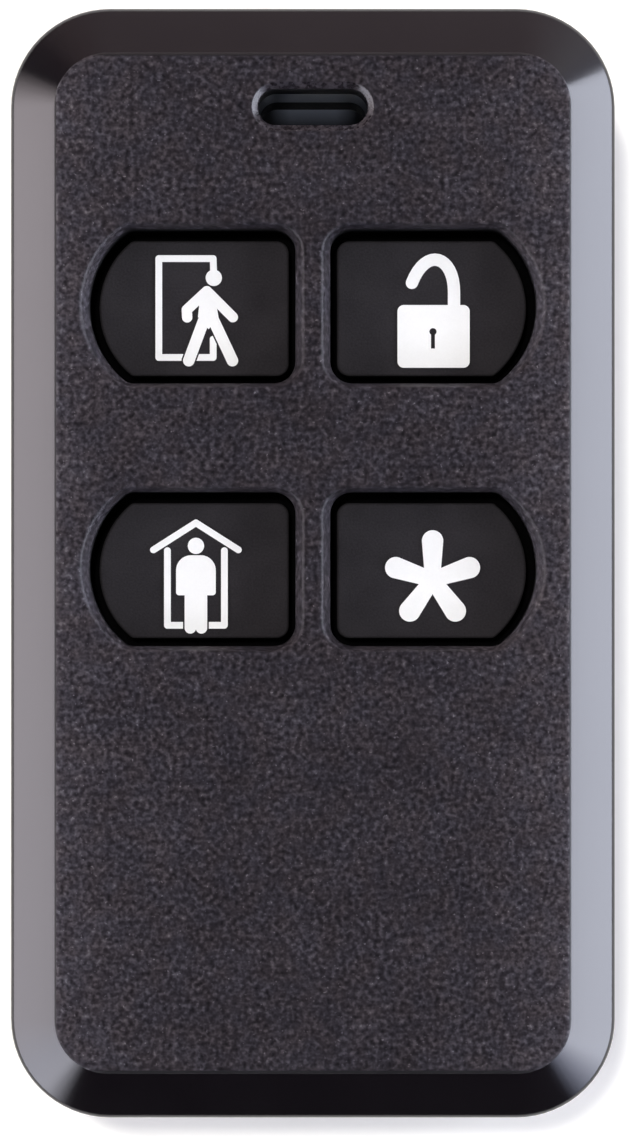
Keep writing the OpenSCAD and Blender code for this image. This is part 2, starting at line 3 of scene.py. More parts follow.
import bmesh
import bpy
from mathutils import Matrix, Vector


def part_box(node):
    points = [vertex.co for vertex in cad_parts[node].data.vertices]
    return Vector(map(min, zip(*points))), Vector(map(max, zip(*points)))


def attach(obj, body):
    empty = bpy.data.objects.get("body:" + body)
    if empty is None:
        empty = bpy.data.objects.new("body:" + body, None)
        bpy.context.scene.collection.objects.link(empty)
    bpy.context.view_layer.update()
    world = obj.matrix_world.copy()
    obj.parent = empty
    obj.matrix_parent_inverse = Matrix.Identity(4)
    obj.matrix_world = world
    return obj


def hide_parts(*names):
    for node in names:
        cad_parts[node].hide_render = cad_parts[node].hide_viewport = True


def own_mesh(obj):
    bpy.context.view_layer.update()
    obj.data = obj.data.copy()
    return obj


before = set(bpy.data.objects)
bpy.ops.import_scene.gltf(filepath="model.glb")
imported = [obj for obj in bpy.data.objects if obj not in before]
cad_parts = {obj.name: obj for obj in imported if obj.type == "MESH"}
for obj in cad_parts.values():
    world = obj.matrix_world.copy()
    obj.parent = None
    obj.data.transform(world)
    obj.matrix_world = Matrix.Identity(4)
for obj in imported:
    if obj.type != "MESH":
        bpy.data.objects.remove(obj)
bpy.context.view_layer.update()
mm = 0.001  # lengths below are in millimetres, unless a note says metres
print("frame loaded:", len(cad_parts), "nodes")


# outlines seen from the front, as lists of (x, y), counter-clockwise
def arcPoints(cx, cy, radius, start, end, steps):
    points = []
    for i in range(steps + 1):
        a = math.radians(start + (end - start) * i / steps)
        points.append((cx + radius * math.cos(a), cy + radius * math.sin(a)))
    return points


def sideShares(points, longest):
    # how many extra points each straight side takes, so that no face gets too long
    return [int(math.dist(p, points[(i + 1) % len(points)]) // longest) for i, p in enumerate(points)]


def spreadSides(points, shares):
    full = []
    for i, p in enumerate(points):
        q = points[(i + 1) % len(points)]
        full.append(p)
        for k in range(1, shares[i] + 1):
            t = k / (shares[i] + 1)
            full.append((p[0] + (q[0] - p[0]) * t, p[1] + (q[1] - p[1]) * t))
    return full


def roundedRect(halfX, halfY, radius, steps):
    cx, cy = halfX - radius, halfY - radius
    points = []
    for k, (sx, sy) in enumerate(((1, 1), (-1, 1), (-1, -1), (1, -1))):
        points += arcPoints(sx * cx, sy * cy, radius, 90 * k, 90 * k + 90, steps)
    return points


def circle(cx, cy, radius, steps):
    return arcPoints(cx, cy, radius, 0, 360, steps)[:-1]


# a section through a wall, as (inset, height), with its corners rounded
lead = 1  # how far an end point lies past its fillet; it only gives the direction


def roundedPath(points, radii, steps=6):
    path = [Vector(points[0])]
    for i in range(1, len(points) - 1):
        before, corner, after = (Vector(points[k]) for k in (i - 1, i, i + 1))
        radius = radii[i - 1]
        if not radius:
            path.append(corner)
            continue
        a, b = (before - corner).normalized(), (after - corner).normalized()
        half = a.angle(b) / 2
        centre = corner + (a + b).normalized() * radius / math.sin(half)
        s = corner + a * radius / math.tan(half) - centre
        e = corner + b * radius / math.tan(half) - centre
        first = math.atan2(s.y, s.x)
        turn = (math.atan2(e.y, e.x) - first + math.pi) % (2 * math.pi) - math.pi
        for k in range(steps + 1):
            t = first + turn * k / steps
            path.append(centre + radius * Vector((math.cos(t), math.sin(t))))
    path.append(Vector(points[-1]))
    return [tuple(p) for p in path]


# rings of vertices and the faces between them
def ringAt(mesh, outline, height):
    return [mesh.verts.new((x * mm, y * mm, height * mm)) for x, y in outline]


def joinRings(mesh, lower, upper):
    for i in range(len(lower)):
        k = (i + 1) % len(lower)
        mesh.faces.new((lower[i], lower[k], upper[k], upper[i]))


def skinPath(mesh, outline, path, first=None, last=None):
    # outline(inset) gives the ring for each point of the path; returns its first and last ring
    rings = []
    for i, (inset, height) in enumerate(path):
        if first and i == 0:
            rings.append(first)
        elif last and i == len(path) - 1:
            rings.append(last)
        else:
            rings.append(ringAt(mesh, outline(inset), height))
        if i:
            joinRings(mesh, rings[-2], rings[-1])
    return rings[0], rings[-1]


def fillFlat(mesh, *rings):
    edges = []
    for ring in rings:
        for i, v in enumerate(ring):
            other = ring[(i + 1) % len(ring)]
            edges.append(mesh.edges.get((v, other)) or mesh.edges.new((v, other)))
    bmesh.ops.triangle_fill(mesh, use_beauty=True, use_dissolve=False, edges=edges)


def addPost(mesh, cx, cy, path, steps=32):
    # a turned piece: path gives (radius, height), closed at both ends
    first, last = skinPath(mesh, lambda r: circle(cx, cy, r, steps), path)
    fillFlat(mesh, first)
    fillFlat(mesh, last)


def addBlock(mesh, low, high):
    outline = [(low[0], low[1]), (high[0], low[1]), (high[0], high[1]), (low[0], high[1])]
    lower, upper = ringAt(mesh, outline, low[2]), ringAt(mesh, outline, high[2])
    joinRings(mesh, lower, upper)
    mesh.faces.new(lower[::-1])
    mesh.faces.new(upper)


sharpAngle = 32  # degrees; edges that turn further than this stay crisp


def finishPiece(name, mesh, finishes, body, nodes, choose=None):
    bmesh.ops.recalc_face_normals(mesh, faces=mesh.faces)
    data = bpy.data.meshes.new(name)
    mesh.to_mesh(data)
    mesh.free()
    for finish in finishes:
        data.materials.append(finish)
    for face in data.polygons:
        face.use_smooth = True
        if choose:
            face.material_index = finishes.index(choose(face))
    data.set_sharp_from_angle(angle=math.radians(sharpAngle))
    piece = bpy.data.objects.new(name, data)
    bpy.context.collection.objects.link(piece)
    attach(piece, body)
    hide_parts(*nodes)
    return piece


def nodeBox(node):
    return [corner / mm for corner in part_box(node)]


# finishes
def startFinish(name):
    finish = bpy.data.materials.new(name)
    finish.use_nodes = True
    tree = finish.node_tree
    coords = tree.nodes.new("ShaderNodeTexCoord")
    place = tree.nodes.new("ShaderNodeMapping")
    place.inputs["Scale"].default_value = (1 / mm, 1 / mm, 1 / mm)
    tree.links.new(coords.outputs["Object"], place.inputs["Vector"])
    return finish, tree, place.outputs["Vector"], tree.nodes["Principled BSDF"]


def noise(tree, place, size, detail):
    node = tree.nodes.new("ShaderNodeTexNoise")
    node.inputs["Scale"].default_value = 1 / size
    node.inputs["Detail"].default_value = detail
    tree.links.new(place, node.inputs["Vector"])
    return node.outputs["Fac"]


def stretched(tree, place, x, y, z):
    node = tree.nodes.new("ShaderNodeMapping")
    node.inputs["Scale"].default_value = (x, y, z)
    tree.links.new(place, node.inputs["Vector"])
    return node.outputs["Vector"]


def remap(tree, value, low, high, toLow, toHigh):
    node = tree.nodes.new("ShaderNodeMapRange")
    for key, number in zip(("From Min", "From Max", "To Min", "To Max"), (low, high, toLow, toHigh)):
        node.inputs[key].default_value = number
    tree.links.new(value, node.inputs["Value"])
    return node.outputs["Result"]


def colours(tree, value, stops):
    node = tree.nodes.new("ShaderNodeValToRGB")
    ramp = node.color_ramp.elements
    while len(ramp) < len(stops):
        ramp.new(0.5)
    for element, (at, colour) in zip(ramp, stops):
        element.position = at
        element.color = (*colour, 1)
    tree.links.new(value, node.inputs["Fac"])
    return node.outputs["Color"]


def maths(tree, how, a, b):
    node = tree.nodes.new("ShaderNodeMath")
    node.operation = how
    for key, value in ((0, a), (1, b)):
        if isinstance(value, (int, float)):
            node.inputs[key].default_value = value
        else:
            tree.links.new(value, node.inputs[key])
    return node.outputs["Value"]


def weighted(tree, first, second, share):
    # the second by its share, the first by the rest
    return maths(tree, "ADD", maths(tree, "MULTIPLY", first, 1 - share),
                 maths(tree, "MULTIPLY", second, share))


def mixColours(tree, share, first, second):
    node = tree.nodes.new("ShaderNodeMix")
    node.data_type = "RGBA"
    tree.links.new(share, node.inputs[0])
    for key, value in ((6, first), (7, second)):
        if isinstance(value, tuple):
            node.inputs[key].default_value = (*value, 1)
        else:
            tree.links.new(value, node.inputs[key])
    return node.outputs[2]


def axes(tree, place):
    node = tree.nodes.new("ShaderNodeSeparateXYZ")
    tree.links.new(place, node.inputs["Vector"])
    return node.outputs["X"], node.outputs["Y"], node.outputs["Z"]


def addBump(tree, shader, height, depth):
    node = tree.nodes.new("ShaderNodeBump")
    node.inputs["Distance"].default_value = depth * mm
    tree.links.new(height, node.inputs["Height"])
    tree.links.new(node.outputs["Normal"], shader.inputs["Normal"])


# where the values of a noise gather, and how much of a finish is mottle rather than grain
noiseSpan = {"middle": 0.5, "low": 0.35, "high": 0.65, "wideLow": 0.3, "wideHigh": 0.7, "mottleShare": 0.4}


def twoTone(tree, value, dark, light):
    return colours(tree, value, ((noiseSpan["low"], dark), (noiseSpan["high"], light)))


def setRough(tree, shader, value, rough):
    spread = remap(tree, value, noiseSpan["wideLow"], noiseSpan["wideHigh"], *rough)
    tree.links.new(spread, shader.inputs["Roughness"])


def makeFinish(name, look):
    finish, tree, place, shader = startFinish(name)
    grainPlace = stretched(tree, place, *look["stretch"]) if "stretch" in look else place
    grain = noise(tree, grainPlace, look["grain"], detail=3)
    mottle = noise(tree, place, look["mottle"], detail=3)
    both = weighted(tree, grain, mottle, noiseSpan["mottleShare"])
    tree.links.new(twoTone(tree, both, look["dark"], look["light"]), shader.inputs["Base Color"])
    setRough(tree, shader, both, look["rough"])
    addBump(tree, shader, grain, look["depth"])
    shader.inputs["Metallic"].default_value = look.get("metal", 0.0)
    shader.inputs["Specular IOR Level"].default_value = look.get("gloss", 0.5)
    return finish


# front face: fine spark-eroded speckle, with a painted sheen that makes it paler toward the long edges
faceLook = {"tones": ((0.2, (0.007, 0.0059, 0.0073)), (0.37, (0.0144, 0.0122, 0.0148)),
                      (0.5, (0.0226, 0.0193, 0.0233)), (0.63, (0.0354, 0.0308, 0.0364)),
                      (0.8, (0.06, 0.0533, 0.0615)), (0.98, (0.111, 0.1015, 0.112))),
            "drift": ((1.035, 1.0, 0.96), (0.97, 1.0, 1.03)), "driftSize": 1.3,
            "grainSize": 0.235, "secondSize": 0.272, "secondShift": 7.3,
            "fineSize": 0.08, "fineShare": 0.25, "cloudSize": 3.0, "cloudShare": 0.21, "depth": 0.016,
            "sparkSize": 0.15, "sparkFrom": 0.69, "sparkFull": 0.8, "spark": 0.42,
            "paintedSheen": ((5.0, 0), (10.0, 0.05), (12.3, 0.13), (12.62, 0.14), (12.84, 0.31)), "sheenSpan": 16.0}


def makeGrainedFace(name, rough, gloss, relief=1.0, edgeSheen=True):
    look = faceLook
    finish, tree, place, shader = startFinish(name)
    move = tree.nodes.new("ShaderNodeMapping")
    move.inputs["Location"].default_value = (look["secondShift"],) * 3
    tree.links.new(place, move.inputs["Vector"])
    shifted = move.outputs["Vector"]
    first = noise(tree, place, look["grainSize"], detail=1)
    second = noise(tree, shifted, look["secondSize"], detail=1)
    pebble = maths(tree, "SUBTRACT", maths(tree, "ADD", first, second), noiseSpan["middle"])
    fine = noise(tree, place, look["fineSize"], detail=1)
    cloud = noise(tree, place, look["cloudSize"], detail=2)
    # a few bright points of the spark texture
    points = noise(tree, shifted, look["sparkSize"], detail=1)
    sparks = remap(tree, points, look["sparkFrom"], look["sparkFull"], 0, look["spark"])
    tone = maths(tree, "ADD", weighted(tree, pebble, cloud, look["cloudShare"]), sparks)
    sheenedTone = tone
    # painted sheen: the tone rises toward the long edges, most just before the bright slopes
    if edgeSheen:
        span = look["sheenSpan"]
        aside = remap(tree, maths(tree, "ABSOLUTE", axes(tree, place)[0], 0), 0, span, 0, 1)
        paintedSheen = colours(tree, aside, [(at / span, (much,) * 3) for at, much in look["paintedSheen"]])
        sheenedTone = maths(tree, "ADD", tone, paintedSheen)
    # faint warm and cool patches
    warm, cool = (colours(tree, sheenedTone, [(at, tuple(a * b for a, b in zip(tint, shift)))
                                       for at, tint in look["tones"]]) for shift in look["drift"])
    patches = noise(tree, shifted, look["driftSize"], detail=1)
    drift = remap(tree, patches, noiseSpan["low"], noiseSpan["high"], 0, 1)
    tree.links.new(mixColours(tree, drift, warm, cool), shader.inputs["Base Color"])
    setRough(tree, shader, tone, rough)
    height = maths(tree, "ADD", pebble, maths(tree, "MULTIPLY", fine, look["fineShare"]))
    addBump(tree, shader, height, look["depth"] * relief)
    shader.inputs["Specular IOR Level"].default_value = gloss
    return finish


grainedFace = makeGrainedFace("grainedFace", rough=(0.52, 0.62), gloss=0.2)
slotRim = makeGrainedFace("slotRim", rough=(0.24, 0.32), gloss=0.43, relief=0.35)
keyRim = makeGrainedFace("keyRim", rough=(0.42, 0.5), gloss=0.28)
sparkedSide = makeGrainedFace("sparkedSide", rough=(0.44, 0.55), gloss=0.18, edgeSheen=False)
sparkedBack = makeGrainedFace("sparkedBack", rough=(0.48, 0.6), gloss=0.3, relief=1.5, edgeSheen=False)
caseLooks = {
    "satinCase": {"dark": (0.0045, 0.0035, 0.0045), "light": (0.0062, 0.005, 0.0062), "grain": 0.16,
                  "mottle": 4.0, "depth": 0.001, "rough": (0.14, 0.18)},
    "softEdge": {"dark": (0.006, 0.0054, 0.0061), "light": (0.009, 0.0082, 0.0091), "grain": 0.2,
                 "mottle": 3.0, "depth": 0.004, "rough": (0.4, 0.46), "gloss": 0.75},
    "tunnelMatt": {"dark": (0.005, 0.0046, 0.0052), "light": (0.008, 0.0074, 0.0082), "grain": 0.2,
                   "mottle": 2.0, "depth": 0.006, "rough": (0.5, 0.6), "gloss": 0.4},
    # painted shade: a near-black matt, darker than the plastic itself, for the sides of the keys and the deep
    # tunnel of the slot
    "paintedGapShade": {"dark": (0.0014, 0.0013, 0.0015), "light": (0.0028, 0.0026, 0.0029), "grain": 0.2,
                "mottle": 2.0, "depth": 0.006, "rough": (0.6, 0.7), "gloss": 0.15},
    "keyRubber": {"dark": (0.0195, 0.0178, 0.0198), "light": (0.0325, 0.0298, 0.0328), "grain": 0.1,
                  "mottle": 2.2, "depth": 0.01, "rough": (0.6, 0.7), "gloss": 0.2},
    "legendInk": {"dark": (0.95, 0.95, 0.94), "light": (0.98, 0.98, 0.97), "grain": 0.09,
                  "mottle": 0.8, "depth": 0.004, "rough": (0.42, 0.55), "gloss": 0.4}}
satinCase, softEdge, tunnelMatt, paintedGapShade, keyRubber, legendInk = (
    makeFinish(name, look) for name, look in caseLooks.items())
print("case finishes made")


# the case: two shells that meet at a seam round the side
caseForm = {"halfX": 15.25, "halfY": 28.0, "cornerRadius": 5.0, "cornerSteps": 16, "longest": 3.0,
            "top": 12.0, "seam": 5.5, "seamEdge": 0.12, "bevelRun": 2.4, "bevelDrop": 1.7, "endShare": 1.065,
            "faceFillet": 0.4, "bevelFillet": 0.5, "support": 0.12, "grainDrop": 0.013, "edgeShare": 0.96,
            "endMargin": 0.2, "wall": 1.5, "roof": 10.4, "roofSlopeRun": 1.68, "roofSlopeDrop": 1.19,
            "roofSink": 0.1, "floor": 1.5, "floorSink": 0.2, "backChamfer": 1.2, "backFillet": 0.4,
            "backSkin": 0.001, "lipThick": 0.645, "lipHigh": 0.8, "lipFit": 0.1,
            "sideTop": 10.0, "sideLow": 1.4, "sideSkin": 0.05}
slotForm = {"y": 22.85, "span": 3.7, "radius": 0.9, "wall": 1.0, "rimRun": 0.32, "rimDrop": 0.3,
            "rimFillet": 0.12, "flareRun": 0.9, "flareRise": 2.7, "flareFillet": 0.3, "flareMargin": 0.1,
            "joint": 8.0, "bandTop": 9.6, "bandLow": 6.0, "steps": 20}
keyForm = {"openingWide": 10.35, "openingHigh": 7.75, "endRadius": 4.8, "endSteps": 24,
           "innerCorner": 1.1, "innerSteps": 8, "outerCorner": 0.75, "keyCorner": 0.38, "outerSteps": 6,
           "rib": 1.75, "upperRow": 12.9, "lowerRow": -0.3, "rimRun": 0.4, "rimDrop": 0.75,
           "rimFillet": 0.3, "rimRound": 0.4, "rimEase": 0.5, "collar": 9.35, "collarThick": 0.8,
           "gap": 0.47, "barGap": 0.33, "hang": 0.08, "top": 10.6, "edge": 0.13, "support": 0.12,
           "shadeDrop": 0.02, "flangeTop": 9.25, "flangeLow": 8.65, "flangeLip": 0.45, "flangeFillet": 0.1,
           "footing": 0.3, "nubRadius": 1.2, "nubLow": 8.3, "nubEdge": 0.1, "nubTurns": 32, "centre": 6.05}
bossForm = {"x": 10.65, "y": -23.4, "bore": 1.65, "seat": 1.9, "hole": 1.0, "rearTop": 3.6,
            "rearRadius": 2.4, "frontRadius": 1.9, "pilot": 0.87, "pilotTop": 8.4, "edge": 0.14, "turns": 40}
postForm = {"x": 11.15, "rows": (6.3, -18.7), "front": 1.0, "rear": 1.2, "boardTop": 6.2, "boardLow": 5.2}
cellRest = {"y": -14.6, "inner": 10.4, "outer": 11.1, "top": 2.7, "clipHalf": 2.7, "steps": 40}
snapForm = {"x": 8.0, "half": 1.5, "gap": 0.1, "thick": 0.8, "top": 8.0, "overlap": 0.1, "footDrop": 0.2}
keyNames = (("away", -1, "upperRow"), ("disarm", 1, "upperRow"),
            ("stay", -1, "lowerRow"), ("aux", 1, "lowerRow"))  # name, side of the bar, row

caseShares = sideShares(roundedRect(caseForm["halfX"], caseForm["halfY"], caseForm["cornerRadius"],
                                    caseForm["cornerSteps"]), caseForm["longest"])


def caseRing(inset, endShare=1.0):
    points = roundedRect(caseForm["halfX"] - inset, caseForm["halfY"] - inset * endShare,
                         caseForm["cornerRadius"] - inset, caseForm["cornerSteps"])
    return spreadSides(points, caseShares)


def bevelRing(inset):
    # the slope is a little longer at the two ends of the case
    return caseRing(inset, caseForm["endShare"])


def onSide(x, y, z):
    # on the upright outside walls
    reach = [max(abs(value) - caseForm[half] + caseForm["cornerRadius"], 0)
             for value, half in ((x, "halfX"), (y, "halfY"))]
    skin = caseForm["cornerRadius"] - math.hypot(*reach)
    return skin < caseForm["sideSkin"] and caseForm["sideLow"] < z < caseForm["sideTop"]


def slotRing(grow):
    radius, half = slotForm["radius"] + grow, slotForm["span"] / 2
    return (arcPoints(half, slotForm["y"], radius, -90, 90, slotForm["steps"])
            + arcPoints(-half, slotForm["y"], radius, 90, 270, slotForm["steps"]))


def keyRing(side, row, grow):
    # straight inner edge at the rib, round end toward the side of the case
    k = keyForm
    halfHigh = k["openingHigh"] / 2 + grow
    endRadius = k["endRadius"] + grow
    inner, outer = k["innerCorner"] + grow, max(k["outerCorner"] + grow, k["keyCorner"])
    endX = k["openingWide"] - k["endRadius"]
    outerX = endX + math.sqrt((endRadius - outer) ** 2 - (halfHigh - outer) ** 2)
    spread = math.degrees(math.atan2(halfHigh - outer, outerX - endX))
    points = arcPoints(inner - grow, inner - halfHigh, inner, 180, 270, k["innerSteps"])
    points += arcPoints(outerX, outer - halfHigh, outer, -90, -spread, k["outerSteps"])
    points += arcPoints(endX, 0, endRadius, -spread, spread, k["endSteps"])[1:-1]
    points += arcPoints(outerX, halfHigh - outer, outer, spread, 90, k["outerSteps"])
    points += arcPoints(inner - grow, halfHigh - inner, inner, 90, 180, k["innerSteps"])
    placed = [(side * (x + k["rib"] / 2), y + k[row]) for x, y in points]
    return placed if side > 0 else placed[::-1]


def rimRing(side, row, grow):
    # the rim is wider at the ends than along the straight edges
    high = keyForm["openingHigh"] / 2
    share = (high + grow * keyForm["rimEase"]) / (high + grow)
    middle = keyForm[row]
    return [(x, middle + (y - middle) * share) for x, y in keyRing(side, row, grow)]


def leanRing(side, row, grow, lean):
    # the key stands nearer to the bar: its inner half reaches that much further
    ring = keyRing(side, row, grow)
    if grow > 0:
        return ring
    middle = keyForm["centre"]
    return [(x - side * lean if abs(x) < middle else x, y - keyForm["hang"]) for x, y in ring]


def buildFrontShell():
    mesh = bmesh.new()
    c, k, s, b, p = caseForm, keyForm, slotForm, bossForm, postForm
    top, seam, edge = c["top"], c["seam"], c["seamEdge"]
    outer = roundedPath([(edge, seam), (0, seam + edge), (0, top - c["bevelDrop"]), (c["bevelRun"], top),
                         (c["bevelRun"] + lead, top)], [0, c["bevelFillet"], c["faceFillet"]])
    outer[-1] = (outer[-2][0] + c["support"], top)
    seamRing, faceRing = skinPath(mesh, bevelRing, outer)
    faceHoles, roofHoles = [], []
    for _, side, row in keyNames:
        path = roundedPath([(k["rimRun"] + lead, top), (k["rimRun"], top), (0, top - k["rimDrop"]),
                            (0, k["collar"]), (k["collarThick"], k["collar"]), (k["collarThick"], c["roof"])],
                           [k["rimFillet"], k["rimRound"], 0, 0])
        path[0] = (path[1][0] + c["support"], top)
        walls = len(path) - 2
        rim, low = skinPath(mesh, lambda grow: rimRing(side, row, grow), path[:walls])
        _, last = skinPath(mesh, lambda grow: keyRing(side, row, grow), path[walls - 1:], first=low)
        faceHoles.append(rim)
        roofHoles.append(last)
    path = roundedPath([(s["rimRun"] + lead, top), (s["rimRun"], top), (0, top - s["rimDrop"]),
                        (0, s["bandTop"]), (0, s["joint"]), (s["wall"], s["joint"]), (s["wall"], c["roof"])],
                       [s["rimFillet"], s["rimFillet"], 0, 0, 0])
    path[0] = (path[1][0] + c["support"], top)
    first, last = skinPath(mesh, slotRing, path)
    faceHoles.append(first)
    roofHoles.append(last)
    lipRoom = c["wall"] - c["lipThick"] - c["lipFit"]
    lipTop = seam + c["lipHigh"] + c["lipFit"]
    inside = [(c["wall"] + c["roofSlopeRun"], c["roof"]), (c["wall"], c["roof"] - c["roofSlopeDrop"]),
              (c["wall"], lipTop), (lipRoom, lipTop), (lipRoom, seam), (edge, seam)]
    roofRing, _ = skinPath(mesh, caseRing, inside, last=seamRing)
    fillFlat(mesh, faceRing, *faceHoles)
    fillFlat(mesh, roofRing, *roofHoles)
    sink = c["roof"] + c["roofSink"]  # posts start inside the roof
    for side in (-1, 1):
        addPost(mesh, side * b["x"], b["y"], [(b["pilot"], b["pilotTop"]), (b["pilot"], b["rearTop"]),
                                              (b["frontRadius"], b["rearTop"]), (b["frontRadius"], sink)])
        for y in p["rows"]:
            addPost(mesh, side * p["x"], y, [(p["front"], p["boardTop"]), (p["front"], sink)])
    bevelAngle = math.atan2(c["bevelDrop"], c["bevelRun"])
    edgeDrop = c["faceFillet"] * (1 - math.cos(bevelAngle)) * c["edgeShare"]

    def finishOf(face):
        # speckle on face and sides, softer polish on rims and edges, satin on the slopes, matt in the gaps
        x, y, z = (value / mm for value in face.center)
        if z > top - c["grainDrop"]:
            return grainedFace
        if onSide(x, y, z):
            return sparkedSide
        if abs(x) > c["halfX"] - c["bevelRun"] or abs(y) > c["halfY"] - c["bevelRun"] - c["endMargin"]:
            return softEdge if z > top - edgeDrop else satinCase
        if y < k["upperRow"] + k["openingHigh"]:
            return keyRim if z > top - k["rimDrop"] else tunnelMatt
        if z > top - s["rimDrop"]:
            return slotRim
        return satinCase if z < s["bandTop"] else tunnelMatt

    finishes = (grainedFace, satinCase, softEdge, tunnelMatt, slotRim, keyRim, sparkedSide)
    finishPiece("frontShell", mesh, finishes, "case", ("front_shell",), finishOf)


def buildRearShell():
    mesh = bmesh.new()
    c, s, b, p, n, r = caseForm, slotForm, bossForm, postForm, snapForm, cellRest
    seam, edge = c["seam"], c["seamEdge"]
    outer = roundedPath([(edge, seam), (0, seam - edge), (0, c["backChamfer"]), (c["backChamfer"], 0),
                         (c["backChamfer"] + lead, 0)], [0, c["backFillet"], c["backFillet"]])
    outer[-1] = (outer[-2][0] + c["support"], 0)
    seamRing, backRing = skinPath(mesh, caseRing, outer)
    backHoles, floorHoles = [], []
    for side in (-1, 1):
        path = roundedPath([(b["bore"] + lead, 0), (b["bore"], 0), (b["bore"], b["seat"]),
                            (b["hole"], b["seat"]), (b["hole"], b["rearTop"]),
                            (b["rearRadius"], b["rearTop"]), (b["rearRadius"], c["floor"])],
                           [b["edge"], 0, 0, 0, 0])
        path[0] = (b["bore"] + b["edge"] + c["support"], 0)
        first, last = skinPath(mesh, lambda radius: circle(side * b["x"], b["y"], radius, b["turns"]), path)
        backHoles.append(first)
        floorHoles.append(last)
    path = roundedPath([(s["flareRun"] + lead, 0), (s["flareRun"], 0), (0, s["flareRise"]),
                        (0, s["bandLow"]), (0, s["joint"]), (s["wall"], s["joint"]), (s["wall"], c["floor"])],
                       [s["flareFillet"], s["flareFillet"], 0, 0, 0])
    path[0] = (path[1][0] + c["support"], 0)
    first, last = skinPath(mesh, slotRing, path)
    backHoles.append(first)
    floorHoles.append(last)
    lipIn = c["wall"] - c["lipThick"]
    inside = [(c["wall"], c["floor"]), (c["wall"], seam + c["lipHigh"]), (lipIn, seam + c["lipHigh"]),
              (lipIn, seam), (edge, seam)]
    floorRing, _ = skinPath(mesh, caseRing, inside, last=seamRing)
    fillFlat(mesh, backRing, *backHoles)
    fillFlat(mesh, floorRing, *floorHoles)
    sink = c["floor"] - c["floorSink"]  # posts, tabs and rib start inside the floor
    for side in (-1, 1):
        for y in p["rows"]:
            addPost(mesh, side * p["x"], y, [(p["rear"], sink), (p["rear"], p["boardLow"])])
        low, high = side * n["x"] - n["half"], side * n["x"] + n["half"]
        wallY = c["halfY"] - c["wall"]
        tabY = wallY - n["gap"]
        addBlock(mesh, (low, tabY - n["thick"], sink), (high, tabY, n["top"]))
        addBlock(mesh, (low, tabY - n["overlap"], sink), (high, wallY + n["overlap"], seam - n["footDrop"]))
    gapAngle = math.degrees(math.asin(r["clipHalf"] / r["outer"]))
    for start in (0, 180):
        span = (start + gapAngle, start + 180 - gapAngle)
        outline = arcPoints(0, r["y"], r["outer"], *span, r["steps"])
        outline += arcPoints(0, r["y"], r["inner"], span[1], span[0], r["steps"])
        lower, upper = ringAt(mesh, outline, sink), ringAt(mesh, outline, r["top"])
        joinRings(mesh, lower, upper)
        fillFlat(mesh, lower)
        fillFlat(mesh, upper)
    flareReach = s["radius"] + s["flareRun"] + s["flareMargin"]

    def finishOf(face):
        # speckle on the back and the sides, painted shade (a near-black matt) deep in the tunnel of the slot,
        # satin elsewhere
        x, y, z = (value / mm for value in face.center)
        if z < c["backSkin"]:
            return sparkedBack
        if onSide(x, y, z):
            return sparkedSide
        inTunnel = abs(y - s["y"]) < flareReach and abs(x) < flareReach + s["span"] / 2
        return paintedGapShade if inTunnel and z < s["bandLow"] else satinCase

    finishes = (sparkedBack, satinCase, paintedGapShade, sparkedSide)
    finishPiece("rearShell", mesh, finishes, "case", ("rear_shell",), finishOf)


def buildKey(name, side, row):
    mesh = bmesh.new()
    k = keyForm
    path = roundedPath([(-k["gap"] - lead, k["top"]), (-k["gap"], k["top"]), (-k["gap"], k["flangeTop"]),
                        (k["flangeLip"], k["flangeTop"]), (k["flangeLip"], k["flangeLow"])],
                       [k["edge"], k["footing"], k["flangeFillet"]])
    path[0] = (path[1][0] - k["support"], k["top"])
    lean = k["gap"] - k["barGap"]
    topRing, lowRing = skinPath(mesh, lambda grow: leanRing(side, row, grow, lean), path)
    fillFlat(mesh, topRing)
    nub = [(k["nubRadius"], k["flangeLow"]), (k["nubRadius"], k["nubLow"] + k["nubEdge"]),
           (k["nubRadius"] - k["nubEdge"], k["nubLow"])]
    nubRing, tipRing = skinPath(mesh, lambda r: circle(side * k["centre"], k[row], r, k["nubTurns"]), nub)
    fillFlat(mesh, lowRing, nubRing)
    fillFlat(mesh, tipRing)
    # painted shade: the key's sides and flange below this height get the near-black matt
    shade = (k["top"] - k["edge"] - k["shadeDrop"]) * mm  # below this the key is dark
    finishPiece(name + "Key", mesh, (keyRubber, paintedGapShade), name + "_button", (name + "_key",),
                lambda face: keyRubber if face.center.z > shade else paintedGapShade)


buildFrontShell()
buildRearShell()
for keyName, keySide, keyRow in keyNames:
    buildKey(keyName, keySide, keyRow)
print("shells and keys built")


# the two case screws, heads sunk in the back
screwForm = {"headLow": 0.9, "headTop": 1.9, "headRadius": 1.5, "headFillet": 0.38, "underFillet": 0.1,
             "support": 0.08, "shank": 0.85, "root": 0.64, "rootFrom": 0.4, "rootTo": 0.6, "pitch": 0.55,
             "threadLow": 2.5, "tip": 7.9, "tipRun": 0.4, "tipRadius": 0.3, "turns": 36,
             "crossLong": 0.825, "crossWide": 0.2, "crossDeep": 0.5, "crossTaper": 0.72}
screwSteel = makeFinish("screwSteel", {"dark": (0.33, 0.34, 0.36), "light": (0.5, 0.51, 0.53), "grain": 0.15,
                                       "mottle": 0.7, "depth": 0.003, "rough": (0.28, 0.42), "metal": 1.0})


def crossRing(cx, cy, share):
    a, b = screwForm["crossLong"] * share, screwForm["crossWide"] * share
    corners = ((a, -b), (a, b), (b, b), (b, a), (-b, a), (-b, b),
               (-a, b), (-a, -b), (-b, -b), (-b, -a), (b, -a), (b, -b))
    return [(cx + x, cy + y) for x, y in corners]


